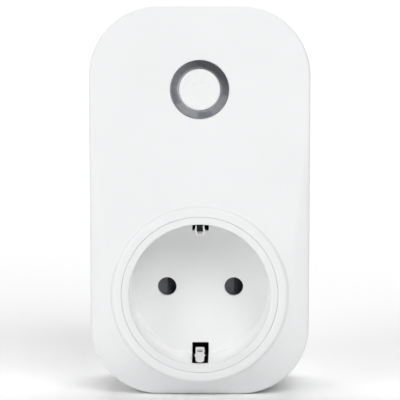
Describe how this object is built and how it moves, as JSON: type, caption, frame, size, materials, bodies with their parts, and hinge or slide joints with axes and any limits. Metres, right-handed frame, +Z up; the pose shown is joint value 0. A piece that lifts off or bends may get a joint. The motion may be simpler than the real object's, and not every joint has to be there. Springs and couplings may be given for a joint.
{
  "type": "plug in power meter",
  "caption": "Plug-through energy meter: a white wall plug with a shuttered, side-earthed socket on its front, a push button in a light ring above it, and a metering board with a relay inside.",
  "frame": {"origin": "centre of the plug nose's front face, on the axis that the plug and the socket share", "axes": "+Y runs out of the nose, the way the plug goes into the wall; +Z is up along the casing's length, towards the button; +X is right seen from the front"},
  "size_m": [0.0606, 0.077, 0.1085],
  "materials": {
    "casing_white": "satin moulded, slightly cool white",
    "nose_white": "satin moulded white",
    "insert_white": "satin moulded white",
    "button_white": "semi-gloss moulded white",
    "ring_smoke": "smoked translucent light guide",
    "label_grey": "satin blank label",
    "screw_steel": "zinc plated",
    "pin_nickel": "nickel plated, satin",
    "retainer_black": "matt moulded",
    "sleeve_brass": "bare brass",
    "carrier_cream": "matt moulded, heat resistant",
    "contact_brass": "bare brass",
    "shutter_grey": "matt moulded",
    "spring_steel": "drawn spring wire",
    "earth_nickel": "nickel plated spring strip",
    "bridge_steel": "black phosphated strip",
    "strap_copper": "bare copper strip",
    "board_green": "solder mask on glass fibre board",
    "switch_black": "matt moulded",
    "plunger_ivory": "matt moulded",
    "led_cream": "clear lens over phosphor",
    "relay_black": "matt moulded",
    "relay_blue": "matt moulded",
    "relay_iron": "soft iron, plated",
    "coil_copper": "lacquered copper winding",
    "ferrite_grey": "sintered ferrite",
    "tape_yellow": "winding tape",
    "film_blue": "moulded box",
    "can_black": "shrink sleeve on an aluminium can",
    "varistor_blue": "dipped epoxy",
    "fuse_ceramic": "ceramic tube",
    "shunt_alloy": "manganin alloy bar",
    "chip_black": "moulded epoxy",
    "shield_tin": "tin plated can"
  },
  "bodies": {
    "casing": {"front_cover": "casing_white", "rear_cover": "casing_white", "plug_nose": "nose_white", "socket_insert": "insert_white", "light_ring": "ring_smoke", "rating_label": "label_grey", "case_screw_1": "screw_steel", "case_screw_2": "screw_steel", "case_screw_3": "screw_steel", "case_screw_4": "screw_steel", "plug_pin_line": "pin_nickel", "plug_pin_neutral": "pin_nickel", "pin_retainer": "retainer_black", "plug_earth_top": "earth_nickel", "plug_earth_bottom": "earth_nickel", "plug_earth_sleeve": "sleeve_brass", "contact_carrier": "carrier_cream", "contact_line": "contact_brass", "contact_neutral": "contact_brass", "shutter_spring": "spring_steel", "earth_bridge": "bridge_steel", "neutral_strap": "strap_copper", "line_strap_in": "strap_copper", "line_strap_out": "strap_copper", "circuit_board": "board_green", "board_screw_1": "screw_steel", "board_screw_2": "screw_steel", "button_switch": "switch_black", "led_1": "led_cream", "led_2": "led_cream", "led_3": "led_cream", "led_4": "led_cream", "relay_base": "relay_black", "relay_cover": "relay_blue", "relay_yoke": "relay_iron", "relay_coil": "coil_copper", "relay_contact": "strap_copper", "transformer_core": "ferrite_grey", "transformer_coil": "tape_yellow", "film_capacitor": "film_blue", "input_capacitor": "can_black", "output_capacitor": "can_black", "varistor": "varistor_blue", "fuse": "fuse_ceramic", "shunt_resistor": "shunt_alloy", "metering_chip": "chip_black", "radio_board": "board_green", "radio_shield": "shield_tin"},
    "power_button": {"power_button": "button_white"},
    "switch_plunger": {"switch_plunger": "plunger_ivory"},
    "shutter": {"shutter": "shutter_grey"},
    "earth_clip_top": {"earth_clip_top": "earth_nickel"},
    "earth_clip_bottom": {"earth_clip_bottom": "earth_nickel"},
    "relay_armature": {"relay_armature": "relay_iron", "relay_arm": "strap_copper"}
  },
  "joints": [
    {"name": "button_press", "type": "slide", "parent": "casing", "child": "power_button", "axis": [0, 1, 0], "range_m": [0, 0.0005], "stiffness_N_per_m": 100, "springref_m": -0.001},
    {"name": "plunger_press", "type": "slide", "parent": "casing", "child": "switch_plunger", "axis": [0, 1, 0], "range_m": [0, 0.0005]},
    {"name": "shutter_slide", "type": "slide", "parent": "casing", "child": "shutter", "axis": [-1, 0, 0], "range_m": [0, 0.0064], "stiffness_N_per_m": 60, "springref_m": -0.002, "deforming": ["shutter_spring"]},
    {"name": "earth_clip_top_flex", "type": "slide", "parent": "casing", "child": "earth_clip_top", "axis": [0, 0, 1], "range_m": [0, 0.0025], "stiffness_N_per_m": 100, "springref_m": -0.001},
    {"name": "earth_clip_bottom_flex", "type": "slide", "parent": "casing", "child": "earth_clip_bottom", "axis": [0, 0, -1], "range_m": [0, 0.0025], "stiffness_N_per_m": 100, "springref_m": -0.001},
    {"name": "relay_armature_swing", "type": "hinge", "parent": "casing", "child": "relay_armature", "pos_m": [0.01175, -0.0312, 0.0482], "axis": [1, 0, 0], "range_deg": [0, 6], "stiffness_Nm_per_rad": 0.0008, "springref_deg": -8.59}
  ],
  "couplings": [
    {"joint": "plunger_press", "follows": "button_press", "ratio": 1}
  ]
}
